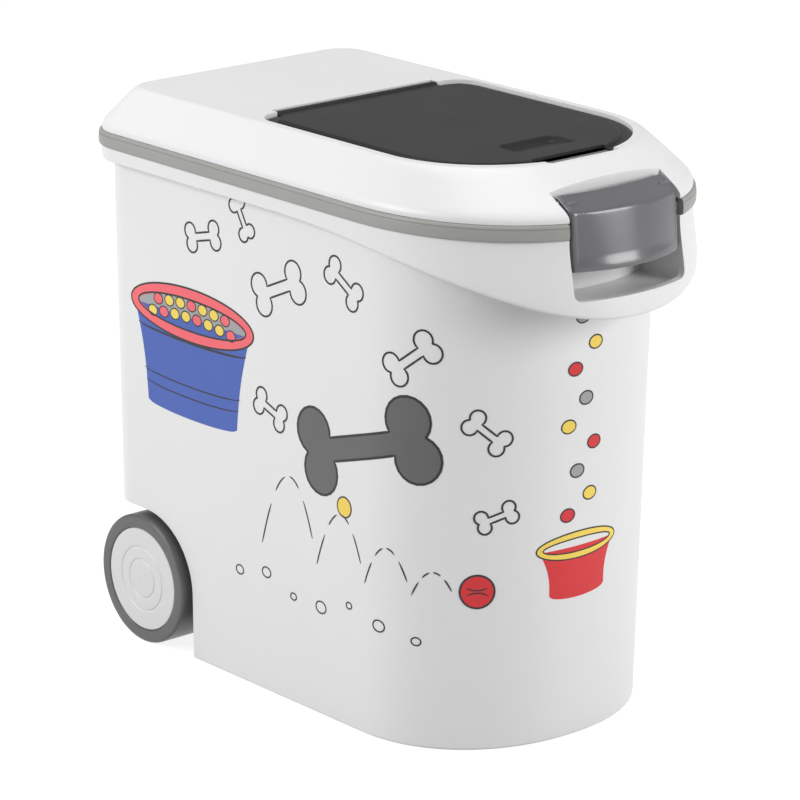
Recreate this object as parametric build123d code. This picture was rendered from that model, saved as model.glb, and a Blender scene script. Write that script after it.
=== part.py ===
from build123d import *
import os
from math import cos, pi, sin, sqrt

# Wheeled pet food bin. X is the width, -Y the front with the latch, +Z up.
# The origin is on the floor, under the middle of the box round the bin. Millimetres.

# ---- overall sizes ----
WIDTH = 277.6              # over the seal band
LENGTH = 493.5             # chin to the rear hinge barrels
RIM_Z = 404.7              # top of the tub's rim shelf
LID_RISE = 32.6            # lid's lower edge to its flat top
WALL = 2.6                 # moulded wall of tub and lid
FLOOR = 3.2                # floor of the tub
RUN = 0.05                 # radial running clearance on pins
SEAT = 0.3                 # gap between two moulded faces that meet
SLIT = 0.8                 # visible shut line round a moving panel

FRONT = -LENGTH / 2
REAR = LENGTH / 2

# ---- seal band ----
BAND_HEIGHT = 12.4
BAND_DEPTH = 6.0
BAND_ROUND = 2.6
BAND_PROUD = 2.5           # band beyond the collar and the lid skirt
BAND_BACK = 3.0            # rear hinge barrels beyond the band
BAND_CHIN = 5.0            # chin beyond the band
CORNER = 38.0              # plan radius of the rear corners
NOSE = 162.75              # length of the curved front, from the chin
SHOULDER_Y = FRONT + NOSE  # where the straight sides end and the curved front starts
BOW = 2.2                  # fullness of the curved front

BAND_HALF = WIDTH / 2
BAND_REAR = REAR - BAND_BACK
BAND_FRONT = FRONT + BAND_CHIN

# ---- tub ----
RIM_SET_IN = 14.8          # tub wall inside the band at the sides, at the rim
REAR_SET_IN = 4.3          # the same at the rear
FRONT_SET_IN = 41.0        # the same at the front
DRAFT_SIDE = 2.1           # how far each wall leans in from rim to floor
DRAFT_REAR = 2.0
DRAFT_FRONT = 16.5
TUB_CORNER = 31.0
TUB_BOW = 2.15
TUB_SHOULDER_LEAN = 8.0    # the curved front starts this much further back at the floor
BASE_ROUND = 2.4

# ---- collar, chin and latch recess ----
SHELF = 2.7                # thickness of the shelf that carries the band
LIP_HEIGHT = 9.3           # upstand inside the band
LIP_WALL = 2.0
COLLAR_DROP = 11.0         # depth of the collar at the rear and sides
CHIN_DROP = 63.7           # depth of the collar at the chin
SWEEP = 266.75             # length over which the collar's lower edge sweeps down to the chin
SWEEP_START_Y = FRONT + SWEEP
RECESS_HALF = 55.0
RECESS_FLOOR_Z = 360.0
RECESS_CORNER = 6.0
RECESS_DISH = 4.0          # floor of the recess below its front edge
LEDGE_DEPTH = 23.0         # catch ledge in front of the tub wall
LEDGE_HALF = 30.0
LEDGE_WALL = 2.6
LEDGE_Z = 400.2            # underside of the catch ledge

# ---- wheels ----
WHEEL_R = 53.0
AXLE_TO_REAR = 59.75
WHEEL_Y = REAR - AXLE_TO_REAR
WHEEL_OUT = 129.3          # outer face, from the middle
WHEEL_WIDTH = 38.3
WHEEL_ROUND = 2.6
WELL_GAP = 4.5             # arch beyond the tread
WELL_IN = 80.0             # inner wall of the well, from the middle
CAP_R = 42.0
CAP_GAP = 0.3
CAP_SKIRT = 3.9
CAP_DISC = 4.2
CAP_DEPTH = 9.0            # recess of the wheel that takes the cap
CAP_SET = 0.4              # cap face below the wheel face
WEB = 3.2
HUB_R = 11.0
WHEEL_PIN_R = 5.0
PIN_HOLD = 0.025           # radial play of a wheel pin in its boss, where it doesn't turn
BOSS_R = 12.0
BOSS_IN = 60.0             # blind end of the boss inside the tub
CLIP = 1.2
CLIP_R = 9.5
WHEEL_SIDE_GAP = 0.5       # wheel hub to boss

# ---- lid hinge ----
HINGE_R = 4.6
HINGE_PIN_R = 2.0
HINGE_RISE = 6.5           # axis above the lid's lower edge
HINGE_X = 60.0             # middle of each hinge
HINGE_LENGTH = 16.0        # lid barrel
EAR = 5.6                  # tub ear each side of the barrel
EAR_GAP = 0.4
EAR_POST_Y = 7.3           # depth of the ear below the barrel

# ---- flap ----
FLAP_HALF = 103.5
FLAP_TO_REAR = 180.75
FLAP_REAR = REAR - FLAP_TO_REAR
FLAP_CORNER = 20.0
FLAP_SHOULDER_Y = SHOULDER_Y - 6.0
FLAP_TO_CHIN = 63.05
FLAP_FRONT = FRONT + FLAP_TO_CHIN
FLAP_BOW = 2.1
FLAP_SINK = 0.5            # panel below the lid's top
RIM_BAND = 8.0             # width of the flap's lower rim
RIM_STEP = 2.5             # panel above the rim
RIM_THICK = 3.1
PANEL_THICK = 2.5
LEDGE = 14.0               # lid ledge under the flap's edge
LEDGE_THICK = 2.6
FLAP_PIN_R = 1.5
FLAP_BARREL_R = 3.6
STRIP_HALF = 80.0          # hinge strip
STRIP_REACH = 9.2          # hinge strip behind the panel
FLAP_EAR = 10.0
FLAP_PIN = 14.0
RECESS_X, RECESS_Y = 50.0, 30.0     # finger recess
RECESS_TO_EDGE = 48.7      # middle of the finger recess behind the flap's front edge
RECESS_AT_Y = FLAP_FRONT + RECESS_TO_EDGE
RECESS_DEPTH = 4.4
RECESS_SKIN = 2.0

# ---- flap catch ----
CATCH_HALF = 33.5
CATCH_REACH = 12.5         # catch's back behind the flap's front edge
CATCH_BACK_Y = FLAP_FRONT + CATCH_REACH
CATCH_DEPTH = 10.5
CATCH_TALL = 8.3
CATCH_SINK = 2.8           # catch below the lid's top
CATCH_TRAVEL = 4.5
NOTCH_HALF = 36.0
NOTCH_BACK_Y = CATCH_BACK_Y + CATCH_TRAVEL
TONGUE = 1.4               # thin edge of the flap that ends just behind the catch
STEM_HALF = 5.0
STEM_HEAD = 8.0

# ---- front latch ----
LATCH_HALF = 52.0
LATCH_WALL = 2.6
LATCH_FOOT_Z, LATCH_BEND_Z, LATCH_TOP_Z = 381.0, 425.0, 434.0
LATCH_INSET = 2.05         # latch's lowest edge behind the chin
LATCH_LEAN = 8.0           # how far its face leans back up to the bend
LATCH_ROOF = 18.0          # and from the bend to its top edge
LATCH_FOOT_Y = FRONT + LATCH_INSET
LATCH_BEND_Y = LATCH_FOOT_Y + LATCH_LEAN
LATCH_TOP_Y = LATCH_BEND_Y + LATCH_ROOF
LATCH_FOOT_BOW, LATCH_BEND_BOW, LATCH_TOP_BOW = 13.0, 9.0, 6.0
LATCH_AXIS_Y = LATCH_TOP_Y + 4.5
LATCH_AXIS_Z = 429.0
LATCH_R = 3.5
LATCH_PIN_R = 1.2
LATCH_PIN_SEAT = 1.5       # depth of a latch pin in the pocket's side wall
LATCH_KNUCKLE = 11.0
LATCH_FLANGE = 9.0
POCKET_ROOM = 7.0          # latch axis to the pocket's back wall
POCKET_BACK_Y = LATCH_AXIS_Y + POCKET_ROOM
HOOK_HALF = 15.0
HOOK_THICK = 4.0
HOOK_GAP = 1.6
HOOK_CLEAR = 0.5           # hook tip in front of the catch ledge

# ---- values that follow ----
BAND_TOP = RIM_Z + BAND_HEIGHT
LID_Z = BAND_TOP + SEAT
TOP_Z = LID_Z + LID_RISE
PANEL_Z = TOP_Z - FLAP_SINK
RIM_TOP_Z = PANEL_Z - RIM_STEP
FLAP_Z = RIM_TOP_Z - RIM_THICK
POCKET_Z = FLAP_Z - SEAT
HINGE_Y = REAR - HINGE_R
HINGE_Z = LID_Z + HINGE_RISE
COLLAR_HALF = BAND_HALF - BAND_PROUD
COLLAR_REAR = BAND_REAR - BAND_PROUD
COLLAR_FRONT = BAND_FRONT + BAND_PROUD
WALL_HALF = BAND_HALF - RIM_SET_IN
WALL_REAR = BAND_REAR - REAR_SET_IN
WALL_FRONT = BAND_FRONT + FRONT_SET_IN
CHIN_Z = RIM_Z - CHIN_DROP
WELL_R = WHEEL_R + WELL_GAP
BIG = 2 * LENGTH

# Lid profile: height above its lower edge, then how far the outline lies inside the
# band at the sides, rear and front. A straight skirt, a rounded shoulder, a slope, a crown.
LID_PROFILE = (
    (0.0, 2.5, 2.5, 2.5),
    (4.0, 2.5, 2.5, 2.5),
    (6.0, 4.2, 4.0, 4.6),
    (7.0, 7.6, 6.2, 9.0),
    (27.0, 20.0, 20.0, 38.0),
    (30.8, 23.4, 23.0, 44.5),
    (LID_RISE, 28.0, 27.0, 52.0),
)
LID_CORNER_SHARE = 0.6     # how much of the inset comes off the corner radius


def bow_edge(side, half, start, front, power, steps=6):
    """One half of the curved front, from the shoulder to the middle."""
    points = [(side * half, start)]
    for i in range(1, steps):
        angle = pi / 2 * i / steps
        x = side * half * cos(angle) ** (2 / power)
        y = start - (start - front) * sin(angle) ** (2 / power)
        points.append((x, y))
    points.append((0, front))
    return Spline(*points, tangents=((0, -1), (-side, 0)))


def outline(z, half, rear, corner, start, front, power):
    """Plan outline: flat rear, round rear corners, straight sides, curved front."""
    inner = half - corner
    low = rear - corner
    edges = [
        Line((-inner, rear), (inner, rear)),
        RadiusArc((inner, rear), (half, low), corner),
        Line((half, low), (half, start)),
        bow_edge(1, half, start, front, power),
        bow_edge(-1, half, start, front, power),
        Line((-half, start), (-half, low)),
        RadiusArc((-half, low), (-inner, rear), corner),
    ]
    return Pos(0, 0, z) * Face(Wire(edges))


def prism(z0, z1, *shape):
    """The outline raised straight from z0 to z1."""
    return extrude(outline(z0, *shape), z1 - z0, dir=(0, 0, 1))


def block(x0, x1, y0, y1, z0, z1):
    """A box from its two corners."""
    return Pos((x0 + x1) / 2, (y0 + y1) / 2, (z0 + z1) / 2) * Box(x1 - x0, y1 - y0, z1 - z0)


def rod(x0, x1, y, z, radius):
    """A round bar along X."""
    return Pos((x0 + x1) / 2, y, z) * Rot(0, 90, 0) * Cylinder(radius, x1 - x0)


def both(shape):
    """The shape and its mirror image across the middle of the bin."""
    return shape + mirror(shape, about=Plane.YZ)


def band_shape(inset):
    """Outline values of the band, moved inward."""
    return (BAND_HALF - inset, BAND_REAR - inset, CORNER - inset, SHOULDER_Y, BAND_FRONT + inset, BOW)


def tub_shape(z, inset=0.0):
    """Outline values of the tub wall at a height: it leans in towards the floor."""
    down = (RIM_Z - z) / RIM_Z
    return (
        WALL_HALF - DRAFT_SIDE * down - inset,
        WALL_REAR - DRAFT_REAR * down - inset,
        TUB_CORNER - inset,
        SHOULDER_Y + TUB_SHOULDER_LEAN * down,
        WALL_FRONT + DRAFT_FRONT * down + inset,
        TUB_BOW,
    )


def tub_block(z0, z1, inset=0.0):
    """The leaning tub form between two heights."""
    return loft([outline(z, *tub_shape(z, inset)) for z in (z0, z1)], ruled=True)


def tub_form():
    """Outside of the tub, with its lowest edge rounded under."""
    steps = 4
    sections = []
    for i in range(steps):
        angle = pi / 2 * i / (steps - 1)
        inset = BASE_ROUND * (1 - sin(angle))
        z = BASE_ROUND * (1 - cos(angle))
        sections.append(outline(z, *tub_shape(z, inset)))
    sections.append(outline(RIM_Z, *tub_shape(RIM_Z)))
    return loft(sections, ruled=True)


def well(grow=0.0):
    """Space of both wheel wells, open to the rear and below."""
    radius = WELL_R + grow
    inner = WELL_IN - grow
    outer = WIDTH
    arch = rod(inner, outer, WHEEL_Y, WHEEL_R, radius)
    front = block(inner, outer, WHEEL_Y - radius, WHEEL_Y, -WHEEL_R, WHEEL_R)
    back = block(inner, outer, WHEEL_Y, BIG, -WHEEL_R, WHEEL_R + radius)
    return both(arch + front + back)


def collar_keep():
    """Everything above the collar's swept lower edge."""
    high, low = RIM_Z - COLLAR_DROP, CHIN_Z
    edge = Spline((SWEEP_START_Y, high), (FRONT, low), tangents=((-1, 0), (-1, -0.35)))
    top = RIM_Z
    rim = [
        edge,
        Line((FRONT, low), (FRONT - WALL, low)),
        Line((FRONT - WALL, low), (FRONT - WALL, top)),
        Line((FRONT - WALL, top), (REAR, top)),
        Line((REAR, top), (REAR, high)),
        Line((REAR, high), (SWEEP_START_Y, high)),
    ]
    face = Plane.YZ * Face(Wire(rim))
    return extrude(face, WIDTH, both=True)


def collar(inset=0.0):
    """Collar form: straight at the sides, swelling forward at the chin."""
    half, rear, corner = COLLAR_HALF - inset, COLLAR_REAR - inset, CORNER - BAND_PROUD - inset
    low = outline(CHIN_Z, half, rear, corner, SHOULDER_Y, FRONT + inset, BOW)
    high = outline(RIM_Z, half, rear, corner, SHOULDER_Y, COLLAR_FRONT + inset, BOW)
    return loft([low, high], ruled=True)


def make_tub():
    inside = tub_block(FLOOR, RIM_Z, WALL) - well(WALL)
    shell = tub_form() - well()
    skirt = (collar() - collar(WALL)) & collar_keep()
    shelf = collar() & block(-WIDTH, WIDTH, FRONT, REAR, RIM_Z - SHELF, RIM_Z)
    lip_out = BAND_DEPTH + SEAT
    lip = prism(RIM_Z - SHELF, RIM_Z + LIP_HEIGHT, *band_shape(lip_out))
    lip -= prism(RIM_Z - SHELF, RIM_Z + LIP_HEIGHT, *band_shape(lip_out + LIP_WALL))
    body = shell + skirt + shelf + lip
    body -= inside
    body -= recess_space()
    body += recess_walls(inside)
    bosses = both(rod(BOSS_IN, WHEEL_OUT - WHEEL_WIDTH - WHEEL_SIDE_GAP, WHEEL_Y, WHEEL_R, BOSS_R))
    body += bosses
    body -= both(rod(BOSS_IN + WALL, BIG, WHEEL_Y, WHEEL_R, WHEEL_PIN_R + PIN_HOLD))
    return body + hinge_ears()


def recess_space():
    """Cut through the chin, shelf and lip where the latch hangs."""
    top = RIM_Z + LIP_HEIGHT
    cut = block(-RECESS_HALF, RECESS_HALF, 2 * FRONT, WALL_FRONT, RECESS_FLOOR_Z, top)
    lower = cut.edges().filter_by(Axis.Y).group_by(Axis.Z)[0]
    return fillet(lower, RECESS_CORNER) - tub_block(0, RIM_Z)


def recess_walls(inside):
    """Side walls and floor of the recess, the catch ledge and a lip set back behind the latch."""
    out = RECESS_HALF + WALL
    floor_z = RECESS_FLOOR_Z - RECESS_DISH
    side = both(block(RECESS_HALF, out, FRONT, SHOULDER_Y, floor_z, RIM_Z))
    side += block(-out, out, FRONT, SHOULDER_Y, floor_z - WALL, floor_z)
    ledge_y = WALL_FRONT - LEDGE_DEPTH
    ledge = block(-LEDGE_HALF, LEDGE_HALF, ledge_y, SHOULDER_Y, LEDGE_Z, LEDGE_Z + LEDGE_WALL)
    lip_y = POCKET_BACK_Y + WALL + SEAT
    lip = block(-out, out, lip_y, lip_y + LIP_WALL, LEDGE_Z, RIM_Z + LIP_HEIGHT)
    walls = (side + ledge) & collar()
    return (walls - inside) + (lip - tub_block(FLOOR, TOP_Z, WALL))


def hinge_ears():
    """Ears that rise through the band and carry the lid hinge pins."""
    ears = None
    start = HINGE_LENGTH / 2 + EAR_GAP
    post_front = REAR - EAR_POST_Y
    post_low = RIM_Z - COLLAR_DROP
    for side in (-1, 1):
        centre = HINGE_X + side * (start + EAR / 2)
        x0, x1 = centre - EAR / 2, centre + EAR / 2
        ear = rod(x0, x1, HINGE_Y, HINGE_Z, HINGE_R)
        ear += block(x0, x1, post_front, REAR, post_low, HINGE_Z)
        ear += block(x0, x1, COLLAR_REAR - WALL, REAR, post_low, RIM_Z)
        ears = ear if ears is None else ears + ear
    ears -= rod(0, WIDTH, HINGE_Y, HINGE_Z, HINGE_PIN_R + RUN)
    return both(ears)


def make_band():
    ring = prism(RIM_Z, BAND_TOP, *band_shape(0))
    rims = ring.edges().filter_by(lambda e: abs(e.center().Z - RIM_Z) < 0.01)
    rims += ring.edges().filter_by(lambda e: abs(e.center().Z - BAND_TOP) < 0.01)
    ring = fillet(rims, BAND_ROUND)
    ring -= prism(RIM_Z, BAND_TOP, *band_shape(BAND_DEPTH))
    latch_gap = RECESS_HALF + WALL / 2
    ring -= block(-latch_gap, latch_gap, 2 * FRONT, 0, RIM_Z, BAND_TOP)
    for side in (-1, 1):
        centre = HINGE_X + side * (HINGE_LENGTH / 2 + EAR_GAP + EAR / 2)
        reach = EAR / 2 + SEAT
        post = REAR - EAR_POST_Y - SEAT
        ring -= both(block(centre - reach, centre + reach, post, BIG, RIM_Z, BAND_TOP))
    return ring


def lid_outer(inset=0.0, drop=0.0):
    """Outer form of the lid, or its inner form when inset and lowered."""
    sections = []
    for rise, side, rear, front in LID_PROFILE:
        z = LID_Z + max(rise - drop, 0) if rise > 0 else LID_Z
        corner = CORNER - LID_CORNER_SHARE * rear - inset
        half, back = BAND_HALF - side - inset, BAND_REAR - rear - inset
        start, nose = SHOULDER_Y, BAND_FRONT + front + inset
        sections.append(outline(z, half, back, corner, start, nose, BOW))
    return loft(sections, ruled=True)


def flap_shape(grow=0.0):
    """Outline values of the flap, moved outward."""
    return (
        FLAP_HALF + grow,
        FLAP_REAR + grow,
        FLAP_CORNER + grow,
        FLAP_SHOULDER_Y,
        FLAP_FRONT - grow,
        FLAP_BOW,
    )


def flap_axis():
    """Y and Z of the flap's hinge."""
    return FLAP_REAR + STRIP_REACH - FLAP_BARREL_R, PANEL_Z - FLAP_BARREL_R


def pocket_shape(grow=0.0):
    """Outline values of the flap's pocket. Its rear leaves the flap's edge room to swing up."""
    half, _, corner, start, front, power = flap_shape(SLIT + grow)
    axis_y, axis_z = flap_axis()
    edge, rise = axis_y - FLAP_REAR, TOP_Z - axis_z
    swing_rear = axis_y - sqrt(edge ** 2 - rise ** 2) + SEAT
    return half, swing_rear + grow, corner, start, front, power


def make_lid():
    outer = lid_outer()
    shell = outer - lid_outer(WALL, WALL)
    tray_z = POCKET_Z - LEDGE_THICK
    tray = prism(tray_z, TOP_Z, *pocket_shape(WALL))
    axis_y, axis_z = flap_axis()
    strip_back = axis_y + FLAP_BARREL_R + SLIT
    slot_half = STRIP_HALF + SLIT
    slot_low = axis_z - FLAP_BARREL_R - SLIT
    ear_out = slot_half + FLAP_EAR
    tray += block(-ear_out, ear_out, FLAP_REAR - LEDGE, strip_back + WALL, slot_low - WALL, TOP_Z)
    catch_front = CATCH_BACK_Y - CATCH_DEPTH - CATCH_TRAVEL - SLIT
    catch_low = TOP_Z - CATCH_SINK - CATCH_TALL - SEAT
    tray += block(-NOTCH_HALF - WALL, NOTCH_HALF + WALL, catch_front - WALL, NOTCH_BACK_Y,
                  catch_low - WALL, TOP_Z)
    body = shell + (tray & outer) + latch_pocket(outer) + plug_ring()
    body -= prism(POCKET_Z, BIG, *pocket_shape())
    body -= prism(0, BIG, *flap_shape(-LEDGE))
    body -= block(-slot_half, slot_half, FLAP_REAR - LEDGE, strip_back, slot_low, BIG)
    body -= block(-CATCH_HALF - SLIT, CATCH_HALF + SLIT, catch_front, CATCH_BACK_Y + SLIT, catch_low, BIG)
    slit = STEM_HALF + SEAT
    body -= block(-slit, slit, catch_front + WALL, CATCH_BACK_Y - WALL + SLIT, 0, BIG)
    body -= rod(-ear_out - WALL, ear_out + WALL, axis_y, axis_z, FLAP_PIN_R + RUN)
    body += block(-ear_out - WALL, -ear_out + WALL, axis_y - WALL, strip_back, slot_low, POCKET_Z)
    body += block(ear_out - WALL, ear_out + WALL, axis_y - WALL, strip_back, slot_low, POCKET_Z)
    return hinge_on_lid(body)


def latch_pocket(outer):
    """Walls of the pocket that the latch hangs in, and bosses for its pins."""
    out = RECESS_HALF + WALL
    back = block(-out, out, POCKET_BACK_Y, POCKET_BACK_Y + WALL, LID_Z, TOP_Z)
    side = both(block(RECESS_HALF, out, 2 * FRONT, POCKET_BACK_Y + WALL, LID_Z, TOP_Z))
    boss = both(rod(RECESS_HALF, out + WALL, LATCH_AXIS_Y, LATCH_AXIS_Z, LATCH_R))
    return (back + side + boss) & outer


def plug_ring():
    """Ring under the lid that locates it inside the tub's lip."""
    inset = BAND_DEPTH + SEAT + LIP_WALL + SLIT
    low, high = LID_Z - LIP_HEIGHT + SLIT, LID_Z + WALL + HINGE_RISE
    ring = prism(low, high, *band_shape(inset)) - prism(low, high, *band_shape(inset + LIP_WALL))
    out = RECESS_HALF + WALL
    return ring - block(-out, out, 2 * FRONT, 0, 0, BIG)


def hinge_on_lid(body):
    """Latch pocket cleared, rear barrels added and slots cut for the tub's ears."""
    body -= block(-RECESS_HALF, RECESS_HALF, 2 * FRONT, POCKET_BACK_Y, 0, BIG)
    body -= both(rod(RECESS_HALF - WALL, BIG, LATCH_AXIS_Y, LATCH_AXIS_Z, LATCH_PIN_R + RUN)
                 & block(0, RECESS_HALF + LATCH_PIN_SEAT + SEAT, FRONT, 0, 0, BIG))
    for side in (-1, 1):
        centre = HINGE_X + side * (HINGE_LENGTH / 2 + EAR_GAP + EAR / 2)
        reach = EAR / 2 + EAR_GAP
        clear = HINGE_R + SLIT
        slot = rod(centre - reach, centre + reach, HINGE_Y, HINGE_Z, clear)
        slot += block(centre - reach, centre + reach, HINGE_Y - clear, BIG, 0, HINGE_Z)
        body -= both(slot)
    x0, x1 = HINGE_X - HINGE_LENGTH / 2, HINGE_X + HINGE_LENGTH / 2
    barrel = rod(x0, x1, HINGE_Y, HINGE_Z, HINGE_R)
    barrel += block(x0, x1, COLLAR_REAR - 2 * WALL, HINGE_Y, HINGE_Z - HINGE_R, HINGE_Z + WALL)
    body += both(barrel)
    return body - both(rod(0, WIDTH, HINGE_Y, HINGE_Z, HINGE_PIN_R + RUN))


def make_flap():
    rim = prism(FLAP_Z, RIM_TOP_Z, *flap_shape())
    bevel = RIM_STEP / 2
    panel = loft([
        outline(RIM_TOP_Z, *flap_shape(-RIM_BAND)),
        outline(PANEL_Z - bevel, *flap_shape(-RIM_BAND)),
        outline(PANEL_Z, *flap_shape(-RIM_BAND - bevel)),
    ], ruled=True)
    body = rim + panel
    hollow = prism(FLAP_Z, PANEL_Z - PANEL_THICK, *flap_shape(-RIM_BAND - PANEL_THICK))
    body -= hollow
    axis_y, axis_z = flap_axis()
    barrel = rod(-STRIP_HALF, STRIP_HALF, axis_y, axis_z, FLAP_BARREL_R)
    strip = block(-STRIP_HALF, STRIP_HALF, FLAP_REAR - RIM_BAND, axis_y, FLAP_Z, PANEL_Z)
    body += barrel + strip
    x, y, skin = RECESS_X / 2, RECESS_Y / 2, RECESS_SKIN
    low = PANEL_Z - RECESS_DEPTH
    cup = block(-x - skin, x + skin, RECESS_AT_Y - y - skin, RECESS_AT_Y + y + skin, low - skin, PANEL_Z)
    slope = RECESS_DEPTH * 2
    dish = loft([
        Pos(0, RECESS_AT_Y, low) * RectangleRounded(RECESS_X - slope, RECESS_Y - slope, skin),
        Pos(0, RECESS_AT_Y, PANEL_Z) * RectangleRounded(RECESS_X, RECESS_Y, skin * 2),
    ])
    body = body + cup - dish
    notch = block(-NOTCH_HALF, NOTCH_HALF, 2 * FRONT, NOTCH_BACK_Y, FLAP_Z + TONGUE, BIG)
    notch += block(-NOTCH_HALF, NOTCH_HALF, 2 * FRONT, CATCH_BACK_Y + SEAT, 0, BIG)
    body -= notch
    pin = both(rod(STRIP_HALF + SLIT / 2 - FLAP_PIN / 2 - SEAT, BIG, axis_y, axis_z, FLAP_PIN_R + RUN))
    return body - pin


def make_catch():
    top = TOP_Z - CATCH_SINK
    low = top - CATCH_TALL
    front = CATCH_BACK_Y - CATCH_DEPTH
    bar = block(-CATCH_HALF, CATCH_HALF, front, CATCH_BACK_Y, low, top)
    bar = fillet(bar.edges().filter_by(Axis.X).group_by(Axis.Z)[-1], CATCH_SINK)
    head_top = TOP_Z - CATCH_SINK - CATCH_TALL - SEAT - WALL - SEAT
    stem_front, stem_back = front + WALL, CATCH_BACK_Y - WALL
    stem = block(-STEM_HALF, STEM_HALF, stem_front, stem_back, head_top, low)
    head = block(-STEM_HEAD, STEM_HEAD, stem_front, stem_back, head_top - WALL, head_top)
    return bar + stem + head


def latch_strip(z, front, bow, wall):
    """Plan section of the curved latch at one height."""
    half = LATCH_HALF
    outer = ThreePointArc((-half, front + bow), (0, front), (half, front + bow))
    inner = ThreePointArc((half, front + bow + wall), (0, front + wall), (-half, front + bow + wall))
    right = Line((half, front + bow), (half, front + bow + wall))
    left = Line((-half, front + bow + wall), (-half, front + bow))
    return Pos(0, 0, z) * Face(Wire([outer, right, inner, left]))


def make_latch():
    foot = latch_strip(LATCH_FOOT_Z, LATCH_FOOT_Y, LATCH_FOOT_BOW, LATCH_WALL)
    bend = latch_strip(LATCH_BEND_Z, LATCH_BEND_Y, LATCH_BEND_BOW, LATCH_WALL)
    top = latch_strip(LATCH_TOP_Z, LATCH_TOP_Y, LATCH_TOP_BOW, LATCH_WALL)
    skin = loft([foot, bend], ruled=True) + loft([bend, top], ruled=True)
    flange_front = loft([
        latch_strip(LATCH_FOOT_Z, LATCH_FOOT_Y, LATCH_FOOT_BOW, LATCH_FLANGE),
        latch_strip(LATCH_BEND_Z, LATCH_BEND_Y, LATCH_BEND_BOW, LATCH_FLANGE),
    ], ruled=True)
    flange_front += loft([
        latch_strip(LATCH_BEND_Z, LATCH_BEND_Y, LATCH_BEND_BOW, LATCH_FLANGE),
        latch_strip(LATCH_TOP_Z, LATCH_TOP_Y, LATCH_TOP_BOW, LATCH_WALL),
    ], ruled=True)
    ends = both(block(LATCH_HALF - LATCH_WALL, LATCH_HALF, 2 * FRONT, LATCH_AXIS_Y,
                      LATCH_FOOT_Z, LATCH_TOP_Z))
    body = skin + (flange_front & ends)
    k0, k1 = LATCH_HALF - LATCH_KNUCKLE, LATCH_HALF
    knuckle = rod(k0, k1, LATCH_AXIS_Y, LATCH_AXIS_Z, LATCH_R)
    half_web = LATCH_WALL / 2
    knuckle += block(k0, k1, LATCH_AXIS_Y - LATCH_FLANGE, LATCH_AXIS_Y,
                     LATCH_AXIS_Z - half_web, LATCH_AXIS_Z + half_web)
    body += both(knuckle)
    hook_top = LEDGE_Z - HOOK_GAP
    hook_back = WALL_FRONT - LEDGE_DEPTH - HOOK_CLEAR
    hook = block(-HOOK_HALF, HOOK_HALF, LATCH_FOOT_Y + 2 * LATCH_WALL, hook_back,
                 hook_top - HOOK_THICK, hook_top)
    body += hook
    return body - both(rod(0, BIG, LATCH_AXIS_Y, LATCH_AXIS_Z, LATCH_PIN_R + RUN))


def turned(profile):
    """A ring or disc turned about the wheel axle from (distance out, radius) points."""
    face = Face(Wire(Polyline(*profile, close=True)))
    return Pos(0, WHEEL_Y, WHEEL_R) * revolve(face, Axis.X)


def make_wheel():
    inner = WHEEL_OUT - WHEEL_WIDTH
    seat = WHEEL_OUT - CAP_DEPTH
    web = seat - WEB
    bore = WHEEL_PIN_R + RUN
    recess = CAP_R + CAP_GAP
    ring = turned([
        (inner, recess), (inner, WHEEL_R), (WHEEL_OUT, WHEEL_R), (WHEEL_OUT, recess),
    ])
    treads = ring.edges().filter_by(GeomType.CIRCLE).sort_by(lambda e: -e.radius)[0:2]
    ring = fillet(treads, WHEEL_ROUND)
    disc = turned([
        (inner, bore), (inner, HUB_R), (web, HUB_R), (web, recess), (seat, recess), (seat, bore),
    ])
    return ring + disc


def make_cap():
    face = WHEEL_OUT - CAP_SET
    back = face - CAP_DISC
    seat = WHEEL_OUT - CAP_DEPTH
    inside = CAP_R - CAP_SKIRT
    cap = turned([
        (seat, inside), (seat, CAP_R), (face, CAP_R), (face, 0), (back, 0), (back, inside),
    ])
    return cap


def make_wheel_pin():
    clip_out = WHEEL_OUT - CAP_DEPTH + SEAT + CLIP
    return rod(BOSS_IN + WALL, clip_out + CLIP, WHEEL_Y, WHEEL_R, WHEEL_PIN_R)


def make_clip():
    start = WHEEL_OUT - CAP_DEPTH + SEAT
    bore = WHEEL_PIN_R + RUN
    return turned([(start, bore), (start, CLIP_R), (start + CLIP, CLIP_R), (start + CLIP, bore)])


def sided(name, shape):
    """Right-hand piece and its left-hand mirror image."""
    return {name + "_right": shape, name + "_left": mirror(shape, about=Plane.YZ)}


def make_parts():
    axis_y, axis_z = flap_axis()
    flap_pin_x = STRIP_HALF + SLIT / 2
    hinge_reach = HINGE_LENGTH / 2 + EAR_GAP + EAR
    parts = {
        "tub": make_tub(),
        "seal_band": make_band(),
        "lid": make_lid(),
        "flap": make_flap(),
        "flap_catch": make_catch(),
        "front_latch": make_latch(),
    }
    parts |= sided("wheel", make_wheel())
    parts |= sided("hub_cap", make_cap())
    parts |= sided("wheel_pin", make_wheel_pin())
    parts |= sided("wheel_clip", make_clip())
    pin = rod(HINGE_X - hinge_reach, HINGE_X + hinge_reach, HINGE_Y, HINGE_Z, HINGE_PIN_R)
    parts |= sided("lid_hinge_pin", pin)
    half = FLAP_PIN / 2
    pin = rod(flap_pin_x - half, flap_pin_x + half, axis_y, axis_z, FLAP_PIN_R)
    parts |= sided("flap_hinge_pin", pin)
    start, end = LATCH_HALF - LATCH_KNUCKLE, RECESS_HALF + LATCH_PIN_SEAT
    pin = rod(start, end, LATCH_AXIS_Y, LATCH_AXIS_Z, LATCH_PIN_R)
    parts |= sided("latch_pin", pin)
    return parts


os.makedirs("parts", exist_ok=True)
for node, shape in make_parts().items():
    export_step(shape, f"parts/{node}.step")
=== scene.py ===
from math import asin, cos, degrees, pi, radians, sin, sqrt

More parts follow.
